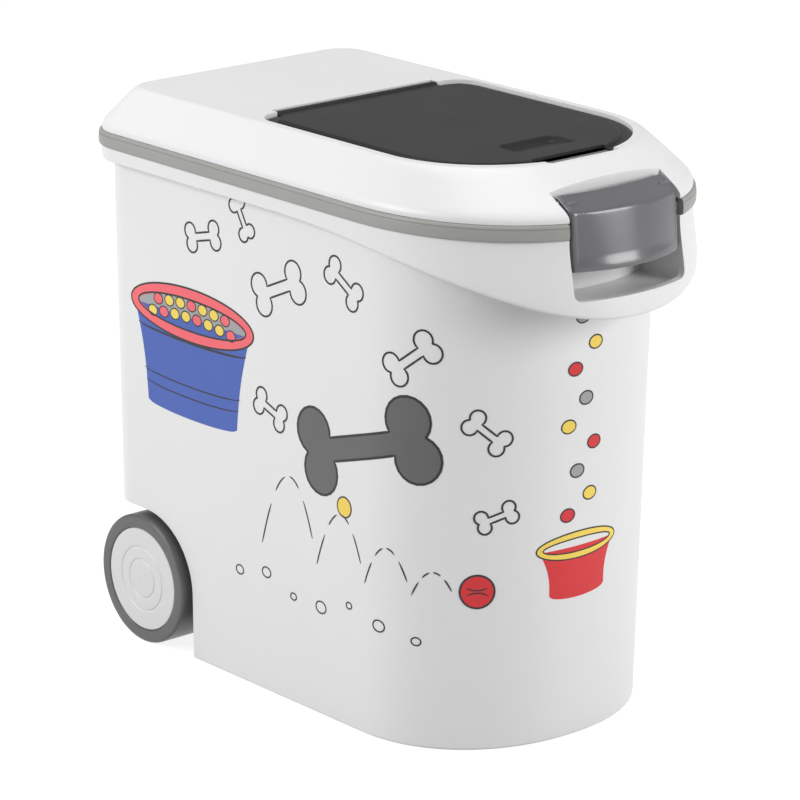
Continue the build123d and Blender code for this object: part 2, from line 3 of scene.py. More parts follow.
import bmesh
import bpy
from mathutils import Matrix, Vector


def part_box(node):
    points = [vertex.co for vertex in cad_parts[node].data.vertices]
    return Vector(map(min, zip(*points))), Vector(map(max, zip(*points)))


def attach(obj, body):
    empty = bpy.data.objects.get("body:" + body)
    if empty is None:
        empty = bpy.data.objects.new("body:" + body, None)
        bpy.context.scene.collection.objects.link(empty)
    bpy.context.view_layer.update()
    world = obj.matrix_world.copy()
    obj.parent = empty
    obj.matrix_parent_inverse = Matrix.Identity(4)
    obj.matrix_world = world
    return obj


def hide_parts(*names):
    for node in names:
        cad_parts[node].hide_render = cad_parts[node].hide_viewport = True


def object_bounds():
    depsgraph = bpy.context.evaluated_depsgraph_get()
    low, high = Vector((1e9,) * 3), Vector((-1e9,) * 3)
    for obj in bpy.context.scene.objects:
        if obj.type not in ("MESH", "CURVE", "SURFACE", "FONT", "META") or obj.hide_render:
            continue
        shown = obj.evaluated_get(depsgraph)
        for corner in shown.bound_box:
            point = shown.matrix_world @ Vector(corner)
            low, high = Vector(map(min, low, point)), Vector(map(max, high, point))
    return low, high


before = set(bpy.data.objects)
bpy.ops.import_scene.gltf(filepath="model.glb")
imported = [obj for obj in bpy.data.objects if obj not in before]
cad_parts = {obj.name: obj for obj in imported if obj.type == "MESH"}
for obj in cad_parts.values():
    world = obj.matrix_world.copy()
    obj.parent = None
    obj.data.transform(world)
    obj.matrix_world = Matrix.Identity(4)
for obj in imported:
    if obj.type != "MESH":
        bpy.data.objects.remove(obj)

CAD_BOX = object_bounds()
MM = 0.001

# ---- sizes in millimetres, the same as the CAD part's ----
BOX_LOW, BOX_HIGH = CAD_BOX[0] / MM, CAD_BOX[1] / MM
FRONT, REAR, TOP_Z = BOX_LOW.y, BOX_HIGH.y, BOX_HIGH.z
band_low, band_high = (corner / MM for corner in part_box("seal_band"))
lid_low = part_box("lid")[0] / MM
wheel_low, wheel_high = (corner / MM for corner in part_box("wheel_right"))
cap_low, cap_high = (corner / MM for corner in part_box("hub_cap_right"))
flap_low, flap_high = (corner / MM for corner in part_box("flap"))
catch_low, catch_high = (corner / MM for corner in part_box("flap_catch"))
latch_low, latch_high = (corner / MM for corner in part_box("front_latch"))

BAND_HALF, BAND_REAR = band_high.x, band_high.y
BAND_FRONT = FRONT + 5.0   # the band itself stops at the latch, short of its own front
RIM_Z, BAND_TOP = band_low.z, band_high.z
LID_Z = BAND_TOP + 0.3
WALL = 2.6
CORNER = 38.0
SHOULDER_Y = -84.0
BOW = 2.2
WHEEL_Y = (wheel_low.y + wheel_high.y) / 2
WHEEL_R = (wheel_high.z - wheel_low.z) / 2
WELL_R = WHEEL_R + 4.5
WELL_IN = 80.0
PROUD = 2.5                # band beyond the collar and the lid skirt
RECESS_HALF = 55.0
RECESS_FLOOR_Z = 360.0
POCKET_BACK_Y = -207.2
POCKET_BOW = 2.3
FLAP_GAP = 0.8
POCKET_REAR_Y = 68.1
CHIN_Z = RIM_Z - 63.7
COLLAR_DROP = 11.0
SWEEP_START_Y = 20.0
PANEL_Z = flap_high.z
RIM_TOP_Z = PANEL_Z - 2.5
FLAP_Z = RIM_TOP_Z - 3.1
HINGE_Y, HINGE_Z = REAR - 4.6, LID_Z + 6.5
FLAP_AXIS_Y, FLAP_AXIS_Z = flap_high.y - 3.6, PANEL_Z - 3.6
LATCH_AXIS_Y, LATCH_AXIS_Z = -214.2, 429.0

# Steps round the plan outline: rear, corner, side, front.
REAR_STEPS, ARC_STEPS, SIDE_STEPS, BOW_STEPS = 6, 12, 16, 30


# ------------------------------------------------------------------ shapes
def lerp(a, b, t):
    return a + (b - a) * t


def smooth(t):
    t = min(max(t, 0.0), 1.0)
    return t * t * (3 - 2 * t)


def plan(half, rear, corner, start, front, power):
    """Closed outline from the middle of the rear, round the right side, and back."""
    right = []
    for i in range(REAR_STEPS):
        right.append(((half - corner) * i / REAR_STEPS, rear))
    for i in range(ARC_STEPS):
        a = pi / 2 * (1 - i / ARC_STEPS)
        right.append((half - corner + corner * cos(a), rear - corner + corner * sin(a)))
    for i in range(SIDE_STEPS):
        right.append((half, lerp(rear - corner, start, i / SIDE_STEPS)))
    for i in range(BOW_STEPS + 1):
        t = pi / 2 * i / BOW_STEPS
        x = half * max(cos(t), 0) ** (2 / power)
        y = start - (start - front) * sin(t) ** (2 / power)
        right.append((x, y))
    left = [(-x, y) for x, y in reversed(right[1:-1])]
    return right + left


def at(points, z):
    """Outline points raised to z, which may be a number or a function of x and y."""
    height = z if callable(z) else (lambda x, y: z)
    return [(x, y, height(x, y)) for x, y in points]


def mesh_object(name, verts, faces):
    mesh = bpy.data.meshes.new(name)
    mesh.from_pydata([Vector(v) * MM for v in verts], [], faces)
    mesh.validate()
    obj = bpy.data.objects.new(name, mesh)
    bpy.context.scene.collection.objects.link(obj)
    out = bmesh.new()
    out.from_mesh(mesh)
    bmesh.ops.recalc_face_normals(out, faces=out.faces)
    out.to_mesh(mesh)
    out.free()
    return obj


def skin(name, rings, closed=False):
    """A surface through rings of equal length; its two ends are capped unless closed."""
    count = len(rings[0])
    verts = [p for ring in rings for p in ring]
    faces = []
    last = len(rings) if closed else len(rings) - 1
    for r in range(last):
        a, b = r * count, ((r + 1) % len(rings)) * count
        for i in range(count):
            j = (i + 1) % count
            faces.append((a + i, a + j, b + j, b + i))
    if not closed:
        faces.append(tuple(range(count)))
        faces.append(tuple(range(len(verts) - count, len(verts))))
    return mesh_object(name, verts, faces)


def prism(name, points, z0, z1):
    return skin(name, [at(points, z0), at(points, z1)])


def block(name, x0, x1, y0, y1, z0, z1):
    return prism(name, [(x0, y0), (x1, y0), (x1, y1), (x0, y1)], z0, z1)


def rounded(x0, x1, y0, y1, radius, steps=6):
    """Rectangle with round corners."""
    points = []
    centres = ((x1 - radius, y1 - radius, 0), (x0 + radius, y1 - radius, 1),
               (x0 + radius, y0 + radius, 2), (x1 - radius, y0 + radius, 3))
    for cx, cy, quarter in centres:
        for i in range(steps + 1):
            a = pi / 2 * (quarter + i / steps)
            points.append((cx + radius * cos(a), cy + radius * sin(a)))
    return points


def rod(name, x0, x1, y, z, radius, steps=64):
    """Round bar along X."""
    rings = []
    for x in (x0, x1):
        ring = []
        for i in range(steps):
            a = 2 * pi * i / steps
            ring.append((x, y + radius * cos(a), z + radius * sin(a)))
        rings.append(ring)
    return skin(name, rings)


def lathe(name, profile, y, z, side=1, steps=128):
    """A closed turned ring from (x, radius) points."""
    rings = []
    for i in range(steps):
        a = 2 * pi * i / steps
        rings.append([(side * x, y + r * cos(a), z + r * sin(a)) for x, r in profile])
    return skin(name, rings, closed=True)


def combine(obj, others, how):
    """Boolean of one object with several, which are then removed."""
    for other in others:
        mod = obj.modifiers.new("b", "BOOLEAN")
        mod.operation = how
        mod.solver = "EXACT"
        mod.object = other
        bake(obj)
        bpy.data.objects.remove(other)
    return obj


def cut(obj, *others):
    return combine(obj, others, "DIFFERENCE")


def join(obj, *others):
    return combine(obj, others, "UNION")


def keep(obj, *others):
    return combine(obj, others, "INTERSECT")


def bake(obj):
    """Applies the object's modifiers to its mesh."""
    graph = bpy.context.evaluated_depsgraph_get()
    mesh = bpy.data.meshes.new_from_object(obj.evaluated_get(graph))
    obj.modifiers.clear()
    old = obj.data
    obj.data = mesh
    bpy.data.meshes.remove(old)


def soften(obj, width, segments=3, angle=32):
    """Rounds the sharp edges and sets the shading."""
    clean = bmesh.new()
    clean.from_mesh(obj.data)
    bmesh.ops.remove_doubles(clean, verts=clean.verts, dist=0.02 * MM)
    bmesh.ops.dissolve_degenerate(clean, edges=clean.edges, dist=0.01 * MM)
    clean.to_mesh(obj.data)
    clean.free()
    if width:
        mod = obj.modifiers.new("round", "BEVEL")
        mod.width = width * MM
        mod.segments = segments
        mod.limit_method = "ANGLE"
        mod.angle_limit = radians(angle)
        mod.use_clamp_overlap = True
        mod.miter_outer = "MITER_ARC"
        bake(obj)
    shade(obj)
    return obj


def shade(obj, angle=38):
    """Smooth shading, with flat faces kept flat."""
    mesh = obj.data
    mesh.polygons.foreach_set("use_smooth", [True] * len(mesh.polygons))
    mesh.set_sharp_from_angle(angle=radians(angle))
    mod = obj.modifiers.new("normals", "WEIGHTED_NORMAL")
    mod.keep_sharp = True
    mod.weight = 70


def place(obj, material, body, slot, *nodes):
    """Material, body, slot (not used) and the CAD nodes the piece stands for."""
    obj.data.materials.clear()
    obj.data.materials.append(material)
    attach(obj, body)
    if nodes:
        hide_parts(*nodes)
    return obj


# ------------------------------------------------------------------ materials
class Nodes:
    """Small helper that builds a node tree."""

    def __init__(self, name):
        self.material = bpy.data.materials.new(name)
        self.material.use_nodes = True
        self.tree = self.material.node_tree
        self.shader = self.tree.nodes["Principled BSDF"]

    def add(self, kind, **inputs):
        node = self.tree.nodes.new(kind)
        for key, value in inputs.items():
            self.feed(node, key.replace("_", " "), value)
        return node

    def feed(self, node, key, value):
        socket = node.inputs[key]
        if isinstance(value, bpy.types.NodeSocket):
            self.tree.links.new(value, socket)
        else:
            socket.default_value = value


def plastic(name, colour, roughness, spread=0.02, grain=900.0, bump=0.02, rough_spread=0.05,
            coat=0.0, wave=14.0, specular=0.5):
    """Moulded plastic: faint colour drift, uneven gloss, a fine moulded skin and slow waviness."""
    n = Nodes(name)
    place_node = n.add("ShaderNodeTexCoord")
    coords = place_node.outputs["Object"]
    drift = n.add("ShaderNodeTexNoise", Vector=coords, Scale=9.0, Detail=3.0)
    ramp = n.add("ShaderNodeValToRGB", Fac=drift.outputs["Fac"])
    low = [max(c * (1 - spread), 0) for c in colour]
    high = [min(c * (1 + spread), 1) for c in colour]
    ramp.color_ramp.elements[0].color = (*low, 1)
    ramp.color_ramp.elements[1].color = (*high, 1)
    ramp.color_ramp.elements[0].position = 0.3
    ramp.color_ramp.elements[1].position = 0.7
    n.feed(n.shader, "Base Color", ramp.outputs["Color"])
    fine = n.add("ShaderNodeTexNoise", Vector=coords, Scale=grain, Detail=2.0)
    slow = n.add("ShaderNodeTexNoise", Vector=coords, Scale=wave, Detail=1.0)
    gloss = n.add("ShaderNodeMapRange", Value=slow.outputs["Fac"])
    gloss.inputs["To Min"].default_value = roughness - rough_spread
    gloss.inputs["To Max"].default_value = roughness + rough_spread
    n.feed(n.shader, "Roughness", gloss.outputs["Result"])
    first = n.add("ShaderNodeBump", Height=fine.outputs["Fac"], Strength=bump, Distance=0.0004)
    second = n.add("ShaderNodeBump", Height=slow.outputs["Fac"], Strength=0.06, Distance=0.0012)
    n.feed(second, "Normal", first.outputs["Normal"])
    n.feed(n.shader, "Normal", second.outputs["Normal"])
    n.shader.inputs["IOR"].default_value = 1.49
    n.shader.inputs["Specular IOR Level"].default_value = specular
    n.shader.inputs["Coat Weight"].default_value = coat
    n.shader.inputs["Coat Roughness"].default_value = 0.12
    return n.material


def steel(name):
    """Drawn wire: lengthwise streaks along X."""
    n = Nodes(name)
    coords = n.add("ShaderNodeTexCoord").outputs["Object"]
    stretch = n.add("ShaderNodeMapping", Vector=coords, Scale=(40, 2500, 2500))
    streak = n.add("ShaderNodeTexNoise", Vector=stretch.outputs["Vector"], Scale=1.0, Detail=2.0)
    gloss = n.add("ShaderNodeMapRange", Value=streak.outputs["Fac"])
    gloss.inputs["To Min"].default_value = 0.22
    gloss.inputs["To Max"].default_value = 0.42
    n.feed(n.shader, "Roughness", gloss.outputs["Result"])
    n.shader.inputs["Base Color"].default_value = (0.55, 0.55, 0.56, 1)
    n.shader.inputs["Metallic"].default_value = 1.0
    return n.material


def floor_material():
    """Pale floor that reads white to the camera and keeps a soft shadow."""
    n = Nodes("floor_white")
    tree = n.tree
    tree.nodes.remove(n.shader)
    out = tree.nodes["Material Output"]
    seen = n.add("ShaderNodeBsdfDiffuse", Color=(0.28, 0.28, 0.28, 1))
    glow = n.add("ShaderNodeEmission", Color=(1, 1, 1, 1), Strength=FLOOR_GLOW)
    both = n.add("ShaderNodeAddShader")
    tree.links.new(seen.outputs[0], both.inputs[0])
    tree.links.new(glow.outputs[0], both.inputs[1])
    plain = n.add("ShaderNodeBsdfDiffuse", Color=(0.52, 0.52, 0.52, 1))
    path = n.add("ShaderNodeLightPath")
    sight = n.add("ShaderNodeMath")
    sight.operation = "MAXIMUM"
    n.feed(sight, 0, path.outputs["Is Camera Ray"])
    n.feed(sight, 1, path.outputs["Is Transmission Ray"])
    glossy = n.add("ShaderNodeMath")
    glossy.operation = "MAXIMUM"
    n.feed(glossy, 0, sight.outputs[0])
    n.feed(glossy, 1, path.outputs["Is Glossy Ray"])
    mix = n.add("ShaderNodeMixShader")
    tree.links.new(glossy.outputs[0], mix.inputs[0])
    tree.links.new(plain.outputs[0], mix.inputs[1])
    tree.links.new(both.outputs[0], mix.inputs[2])
    tree.links.new(mix.outputs[0], out.inputs["Surface"])
    return n.material


FLOOR_GLOW = 0.87
WHITE = plastic("tub_plastic", (0.80, 0.80, 0.80), 0.34, spread=0.008)
LID_WHITE = plastic("lid_plastic", (0.80, 0.80, 0.81), 0.36, spread=0.008)
SEAL = plastic("seal_rubber", (0.335, 0.335, 0.32), 0.46, spread=0.03, grain=1500, bump=0.05)
DARK = plastic("flap_plastic", (0.024, 0.024, 0.0255), 0.44, spread=0.08, grain=1600, bump=0.07, specular=0.24)
GREY = plastic("latch_plastic", (0.135, 0.135, 0.143), 0.24, spread=0.03, bump=0.02, coat=0.35)
TYRE = plastic("wheel_plastic", (0.115, 0.115, 0.112), 0.33, spread=0.05, grain=1300, bump=0.06)
CAP = plastic("cap_plastic", (0.72, 0.72, 0.73), 0.42, spread=0.01)
STEEL = steel("pin_wire")


# ------------------------------------------------------------------ seal band
def band_plan(inset):
    return plan(BAND_HALF - inset, BAND_REAR - inset, CORNER - inset * 0.8, SHOULDER_Y,
                BAND_FRONT + inset, BOW)


def make_band():
    """Rounded soft profile with a fine groove near its top edge."""
    tall = BAND_TOP - RIM_Z
    face = [
        (6.0, 0.0), (2.2, 0.0), (1.1, 0.35), (0.35, 1.2), (0.0, 2.8), (0.0, tall * 0.45),
        (0.05, tall - 3.9), (0.25, tall - 3.2), (0.75, tall - 2.95), (0.8, tall - 2.7),
        (0.35, tall - 2.4), (0.5, tall - 1.4), (1.1, tall - 0.5), (2.0, tall), (6.0, tall),
    ]
    rings = [at(band_plan(inset), RIM_Z + up) for inset, up in face]
    band = skin("seal_profile", rings, closed=True)
    gap = RECESS_HALF + WALL / 2
    slots = [block("c", -gap, gap, FRONT * 2, 0, RIM_Z - 5, BAND_TOP + 5)]
    for x in ear_centres():
        slots.append(block("c", x - 3.1, x + 3.1, REAR - 7.6, REAR + 9, RIM_Z - 5, BAND_TOP + 5))
    cut(band, *slots)
    soften(band, 0.4, 2, angle=50)
    return place(band, SEAL, "tub", "seal_grey", "seal_band")


def ear_centres():
    """Middles of the tub's four hinge ears across the width."""
    return [side * (60 + way * 11.2) for side in (-1, 1) for way in (-1, 1)]


# ------------------------------------------------------------------ lid
# Height above the lid's lower edge, then inset from the band at the sides, rear and front.
LID_RISE = TOP_Z - LID_Z
SKIRT_INSET = 2.5
SKIRT_TALL, SHOULDER_AT = 2.0, 4.9
SLOPE_FOOT = (9.0, 6.0, 5.6, 9.0)
LID_SLOPE = (26.6, 20.6, 20.4, 38.5)
LID_CROWN = (LID_RISE, 29.0, 28.0, 52.0)
SHOULDER_STEPS, SLOPE_STEPS, CROWN_STEPS = 7, 10, 7


def lid_profile():
    """Skirt, rounded shoulder, slope and rounded crown, each running smoothly into the next."""
    skirt = [SKIRT_INSET] * 3
    rows = [(0.0, *skirt), (SKIRT_TALL, *skirt)]
    for i in range(1, SHOULDER_STEPS + 1):
        t = i / SHOULDER_STEPS
        up = (1 - t) ** 2 * SKIRT_TALL + 2 * t * (1 - t) * SHOULDER_AT + t * t * SLOPE_FOOT[0]
        rows.append((up, *[lerp(SKIRT_INSET, foot, t * t) for foot in SLOPE_FOOT[1:]]))
    start = rows[-1]
    for i in range(1, SLOPE_STEPS + 1):
        t = i / SLOPE_STEPS
        rows.append(tuple(lerp(a, b, t) for a, b in zip(start, LID_SLOPE)))
    left = (LID_CROWN[0] - LID_SLOPE[0]) / (LID_SLOPE[0] - SLOPE_FOOT[0])
    edge = [lerp(a, b, 1 + left) for a, b in zip(SLOPE_FOOT, LID_SLOPE)]
    for i in range(1, CROWN_STEPS + 1):
        t = i / CROWN_STEPS
        rows.append(tuple((1 - t) ** 2 * a + 2 * t * (1 - t) * b + t * t * c
                          for a, b, c in zip(LID_SLOPE, edge, LID_CROWN)))
    return rows


def lid_ring(row, inset=0.0, drop=0.0):
    up, side, rear, front = row
    points = plan(BAND_HALF - side - inset, BAND_REAR - rear - inset,
                  CORNER - 0.6 * rear - inset * 0.8, SHOULDER_Y, BAND_FRONT + front + inset, BOW)
    return at(points, LID_Z + up - drop)


def flap_plan(grow=0.0):
    return plan(103.5 + grow, 66 + grow, 20 + grow, -90.0, -183.7 - grow, 2.1)


def pocket_plan(extra=0.0):
    """The flap's outline with a gap, and room behind it for the flap's rear edge to swing."""
    grow = FLAP_GAP + extra
    return plan(103.5 + grow, POCKET_REAR_Y + extra, 20 + grow, -90.0, -183.7 - grow, 2.1)


def arc_strip(half, front, bow, wall, steps=24):
    """Plan of a bar curved like the latch: centre at front, ends further back by bow."""
    outer = [(lerp(-half, half, i / steps), 0) for i in range(steps + 1)]
    outer = [(x, front + bow * (x / half) ** 2) for x, _ in outer]
    inner = [(x, y + wall) for x, y in reversed(outer)]
    return outer + inner


def make_lid():
    rows = lid_profile()
    dome = skin("lid_shell", [lid_ring(r) for r in rows])
    inner_rows = [(r[0] - 8, *r[1:]) if r[0] == 0 else r for r in rows]
    core = skin("core", [lid_ring(r, WALL, 0 if r[0] < 0 else WALL) for r in inner_rows])
    tray_z = FLAP_Z - 0.3 - WALL
    out = RECESS_HALF + WALL
    slot = 80.8
    strip_back = flap_high.y + 0.8
    strip_low = FLAP_AXIS_Z - 4.4
    catch_front, catch_floor = catch_low.y - 5.3, catch_high.z - 8.6
    stays = [
        prism("t", pocket_plan(WALL), tray_z, TOP_Z),
        block("t", -slot - 10, slot + 10, 52, strip_back + WALL, strip_low - WALL, TOP_Z),
        block("t", -38.6, 38.6, catch_front - WALL, -166.7, catch_floor - WALL, TOP_Z),
        prism("t", arc_strip(out, POCKET_BACK_Y - POCKET_BOW, POCKET_BOW, WALL), LID_Z - 20, TOP_Z),
        block("t", RECESS_HALF, out, FRONT, POCKET_BACK_Y + WALL, LID_Z - 20, TOP_Z),
        block("t", -out, -RECESS_HALF, FRONT, POCKET_BACK_Y + WALL, LID_Z - 20, TOP_Z),
        rod("t", RECESS_HALF, out + WALL, LATCH_AXIS_Y, LATCH_AXIS_Z, 3.5),
        rod("t", -out - WALL, -RECESS_HALF, LATCH_AXIS_Y, LATCH_AXIS_Z, 3.5),
    ]
    cut(core, *stays)
    cut(dome, core)
    tools = [
        prism("c", pocket_plan(), FLAP_Z - 0.3, TOP_Z + 20),
        prism("c", flap_plan(-14), 300, TOP_Z + 20),
        block("c", -slot, slot, 52, strip_back, strip_low, TOP_Z + 20),
        prism("c", rounded(-34.3, 34.3, catch_front, catch_high.y + 0.8, 2.5), catch_floor, TOP_Z + 20),
        block("c", -5.3, 5.3, catch_front + WALL, catch_high.y - 1.8, 300, TOP_Z),
        latch_space(),
        rod("c", -97, 97, FLAP_AXIS_Y, FLAP_AXIS_Z, 1.56),
    ]
    for x in ear_centres():
        tools.append(rod("c", x - 3.2, x + 3.2, HINGE_Y, HINGE_Z, 5.4))
        tools.append(block("c", x - 3.2, x + 3.2, HINGE_Y - 5.4, REAR + 9, 300, HINGE_Z))
    cut(dome, *tools)
    adds = []
    for side in (-60, 60):
        adds.append(rod("a", side - 8, side + 8, HINGE_Y, HINGE_Z, 4.6))
        adds.append(block("a", side - 8, side + 8, BAND_REAR - 7.7, HINGE_Y, HINGE_Z - 4.6, HINGE_Z + 2.6))
    join(dome, *adds)
    cut(dome, *[rod("c", side - 8.2, side + 8.2, HINGE_Y, HINGE_Z, 2.06) for side in (-60, 60)])
    join(dome, plug_ring())
    soften(dome, 1.1, 3, angle=36)
    return place(dome, LID_WHITE, "lid", "lid_white", "lid")


def latch_space():
    """Pocket for the latch, curved at the back like the latch's top edge, open to the front."""
    half = RECESS_HALF
    back = [(x, y) for x, y in arc_strip(half, POCKET_BACK_Y - POCKET_BOW, POCKET_BOW, 1)[:25]]
    points = [(half, 2 * FRONT), (-half, 2 * FRONT)] + back
    return prism("c", points, 300, TOP_Z + 20)


def plug_ring():
    low, high = LID_Z - 8.5, LID_Z + 9.1
    rings = [at(band_plan(9.1), low), at(band_plan(9.1), high),
             at(band_plan(11.1), high), at(band_plan(11.1), low)]
    ring = skin("a", rings, closed=True)
    out = RECESS_HALF + WALL
    return cut(ring, block("c", -out, out, 2 * FRONT, 0, 0, TOP_Z))


# ------------------------------------------------------------------ tub
def tub_values(z, inset=0.0):
    """Plan values of the tub wall at a height: it leans in towards the floor."""
    down = (RIM_Z - z) / RIM_Z
    return (BAND_HALF - 14.8 - 2.1 * down - inset, BAND_REAR - 4.3 - 2.0 * down - inset,
            31 - inset * 0.8, SHOULDER_Y + 8 * down, BAND_FRONT + 41 + 16.5 * down + inset, 2.15)


def tub_plan(z, inset=0.0):
    return plan(*tub_values(z, inset))


def tub_solid(name, low, high, inset=0.0, base_round=0.0):
    rings = []
    if base_round:
        for i in range(6):
            a = pi / 2 * i / 5
            rings.append(at(tub_plan(low, inset + base_round * (1 - sin(a))), low + base_round * (1 - cos(a))))
        low += base_round
    steps = 8
    for i in range(1 if base_round else 0, steps + 1):
        z = lerp(low, high, i / steps)
        rings.append(at(tub_plan(z, inset), z))
    return skin(name, rings)


def sweep_z(x, y):
    """Lower edge of the collar: level along the sides, sweeping down to the chin."""
    high = RIM_Z - COLLAR_DROP
    t = (SWEEP_START_Y - y) / (SWEEP_START_Y - FRONT)
    if t <= 0:
        return high
    return high - (high - CHIN_Z) * (0.62 * t ** 2.1 + 0.38 * t ** 4)


def edge_round(y):
    """Radius of the collar's lower edge, larger at the chin."""
    return lerp(1.3, 5.0, smooth((SWEEP_START_Y - y) / (SWEEP_START_Y - FRONT) * 1.15))


def collar_plan(share, inset):
    """Collar outline: it swells forward towards the chin."""
    swell = lerp(PROUD, -5.0, share)
    return plan(BAND_HALF - PROUD - inset, BAND_REAR - PROUD - inset, CORNER - PROUD - inset * 0.8,
                SHOULDER_Y, BAND_FRONT + swell + inset, BOW)


def blend_rings(a, b, weight):
    """Ring between two rings, by a share that depends on the point."""
    return [tuple(lerp(p, q, weight(u[0], u[1])) for p, q in zip(u, v)) for u, v in zip(a, b)]


def make_collar():
    """Skirt under the band, with a shelf and an upstand inside the band."""
    rings = []
    steps = 10
    for i in range(steps + 1):
        share = i / steps
        flare = smooth(share)

        def height(x, y, share=share):
            return lerp(RIM_Z, sweep_z(x, y) + edge_round(y), share)
        rings.append(at(collar_plan(flare, 0), height))
    for i in range(1, 7):
        a = pi / 2 * i / 6
        outer = at(collar_plan(1, 0), lambda x, y, a=a: sweep_z(x, y) + edge_round(y) * (1 - sin(a)))
        inner = at(collar_plan(1, 5), lambda x, y, a=a: sweep_z(x, y) + edge_round(y) * (1 - sin(a)))
        rings.append(blend_rings(outer, inner, lambda x, y, a=a: edge_round(y) / 5 * (1 - cos(a))))
    inner_low = at(collar_plan(1, 5.4), lambda x, y: sweep_z(x, y))
    outer_low = at(collar_plan(1, 0), lambda x, y: sweep_z(x, y))
    rings.append(blend_rings(outer_low, inner_low, lambda x, y: lerp(0.5, 1, smooth((20 - y) / 180))))
    rings.append(at(collar_plan(0.3, WALL), lambda x, y: lerp(sweep_z(x, y), RIM_Z - 2.7, 0.6)))
    rings.append(at(collar_plan(0, WALL), RIM_Z - 2.7))
    rings.append(at(tub_plan(RIM_Z - 2.7, 1.0), RIM_Z - 2.7))
    rings.append(at(tub_plan(RIM_Z, 1.0), RIM_Z))
    return skin("collar", rings, closed=True)


def recess_cut():
    """Opening for the latch, with round lower corners and a softly arched edge."""
    r, half = 6.0, RECESS_HALF
    low, high = RECESS_FLOOR_Z, RIM_Z + 20
    side = [(half, high)]
    for i in range(7):
        a = pi / 2 * i / 6
        side.append((half - r + r * cos(a), low + r - r * sin(a)))
    points = side + [(-x, z) for x, z in reversed(side)]
    y0, y1 = 2 * FRONT, BAND_FRONT + 41
    rings = [[(x, y0, z) for x, z in points], [(x, y1, z) for x, z in points]]
    return skin("c", rings)


def make_tub():
    outer = tub_solid("tub_shell", 0, RIM_Z, 0, 2.4)
    collar = make_collar()
    opening = cut(recess_cut(), tub_solid("c", -5, RIM_Z + 30))
    out, dish = RECESS_HALF + WALL, RECESS_FLOOR_Z - 4
    walls = block("a", -out, -RECESS_HALF, FRONT, SHOULDER_Y, dish - WALL, RIM_Z)
    join(walls, block("a", RECESS_HALF, out, FRONT, SHOULDER_Y, dish - WALL, RIM_Z),
         block("a", -out, out, FRONT, SHOULDER_Y, dish - WALL, dish),
         block("a", -30, 30, BAND_FRONT + 18, SHOULDER_Y, 400.2, 402.8))
    fill = skin("k", [at(collar_plan(1, 0.8), CHIN_Z), at(collar_plan(0, 0.8), RIM_Z)])
    keep(walls, fill)
    cut(collar, opening)
    join(outer, collar, walls)
    lip = skin("a", [at(band_plan(6.3), RIM_Z - 2.7), at(band_plan(6.3), RIM_Z + 9.3),
                     at(band_plan(8.3), RIM_Z + 9.3), at(band_plan(8.3), RIM_Z - 2.7)], closed=True)
    cut(lip, block("c", -RECESS_HALF, RECESS_HALF, 2 * FRONT, 0, 0, TOP_Z))
    join(outer, lip, block("a", -out, out, -204.3, -202.3, 400.2, RIM_Z + 9.3))
    wells = [well_cut(side, 0) for side in (-1, 1)]
    inside = cut(tub_solid("c", 3.2, RIM_Z + 30, WALL), *[well_cut(side, WALL) for side in (-1, 1)])
    cut(outer, inside, *wells)
    for side in (-1, 1):
        x0, x1 = sorted((side * 60, side * 90.5))
        join(outer, rod("a", x0, x1, WHEEL_Y, WHEEL_R, 12))
        x0, x1 = sorted((side * 62.6, side * 100))
        cut(outer, rod("c", x0, x1, WHEEL_Y, WHEEL_R, 5.03))
    for x in ear_centres():
        ear = rod("a", x - 2.8, x + 2.8, HINGE_Y, HINGE_Z, 4.6)
        low = RIM_Z - COLLAR_DROP
        join(ear, block("a", x - 2.8, x + 2.8, REAR - 7.3, REAR, low, HINGE_Z),
             block("a", x - 2.8, x + 2.8, BAND_REAR - PROUD - WALL, REAR - 1, low, RIM_Z))
        cut(ear, rod("c", x - 4, x + 4, HINGE_Y, HINGE_Z, 2.06))
        join(outer, ear)
    soften(outer, 1.2, 3, angle=36)
    return place(outer, WHITE, "tub", "tub_white", "tub")


def well_cut(side, grow):
    """Space of one wheel well, open to the rear and below."""
    radius = WELL_R + grow
    x0, x1 = sorted((side * (WELL_IN - grow), side * 300))
    y0, y1, top = WHEEL_Y - radius, WHEEL_Y, WHEEL_R + radius
    points = [(y0, -60), (y0, WHEEL_R)]
    for i in range(1, 33):
        a = pi / 2 * i / 32
        points.append((y1 - radius * cos(a), WHEEL_R + radius * sin(a)))
    points += [(400, top), (400, -60)]
    return skin("c", [[(x0, y, z) for y, z in points], [(x1, y, z) for y, z in points]])


# ------------------------------------------------------------------ print on the tub
# Flat motifs are drawn in S and Z: S runs along the left wall towards the front from the
# shoulder, where the curve starts, and Z is the height. Each colour is one thin film.
FILM_SUNK = 0.35
FILM_STEP = 0.008          # keeps overlapping shapes of one colour apart
LINE = 1.5


def wall_track(z):
    """Points along the left wall and round the front at one height, with their running length."""
    half, rear, corner, start, front, power = tub_values(z)
    track = [(-half, rear - corner), (-half, start)]
    for i in range(1, 81):
        t = pi / 2 * i / 80
        track.append((-half * max(cos(t), 0) ** (2 / power), start - (start - front) * sin(t) ** (2 / power)))
    track += [(-x, y) for x, y in reversed(track[:-1])]
    lengths = [start - (rear - corner)]
    for (x0, y0), (x1, y1) in zip(track, track[1:]):
        lengths.append(lengths[-1] + sqrt((x1 - x0) ** 2 + (y1 - y0) ** 2))
    return track, lengths


TRACKS = {}


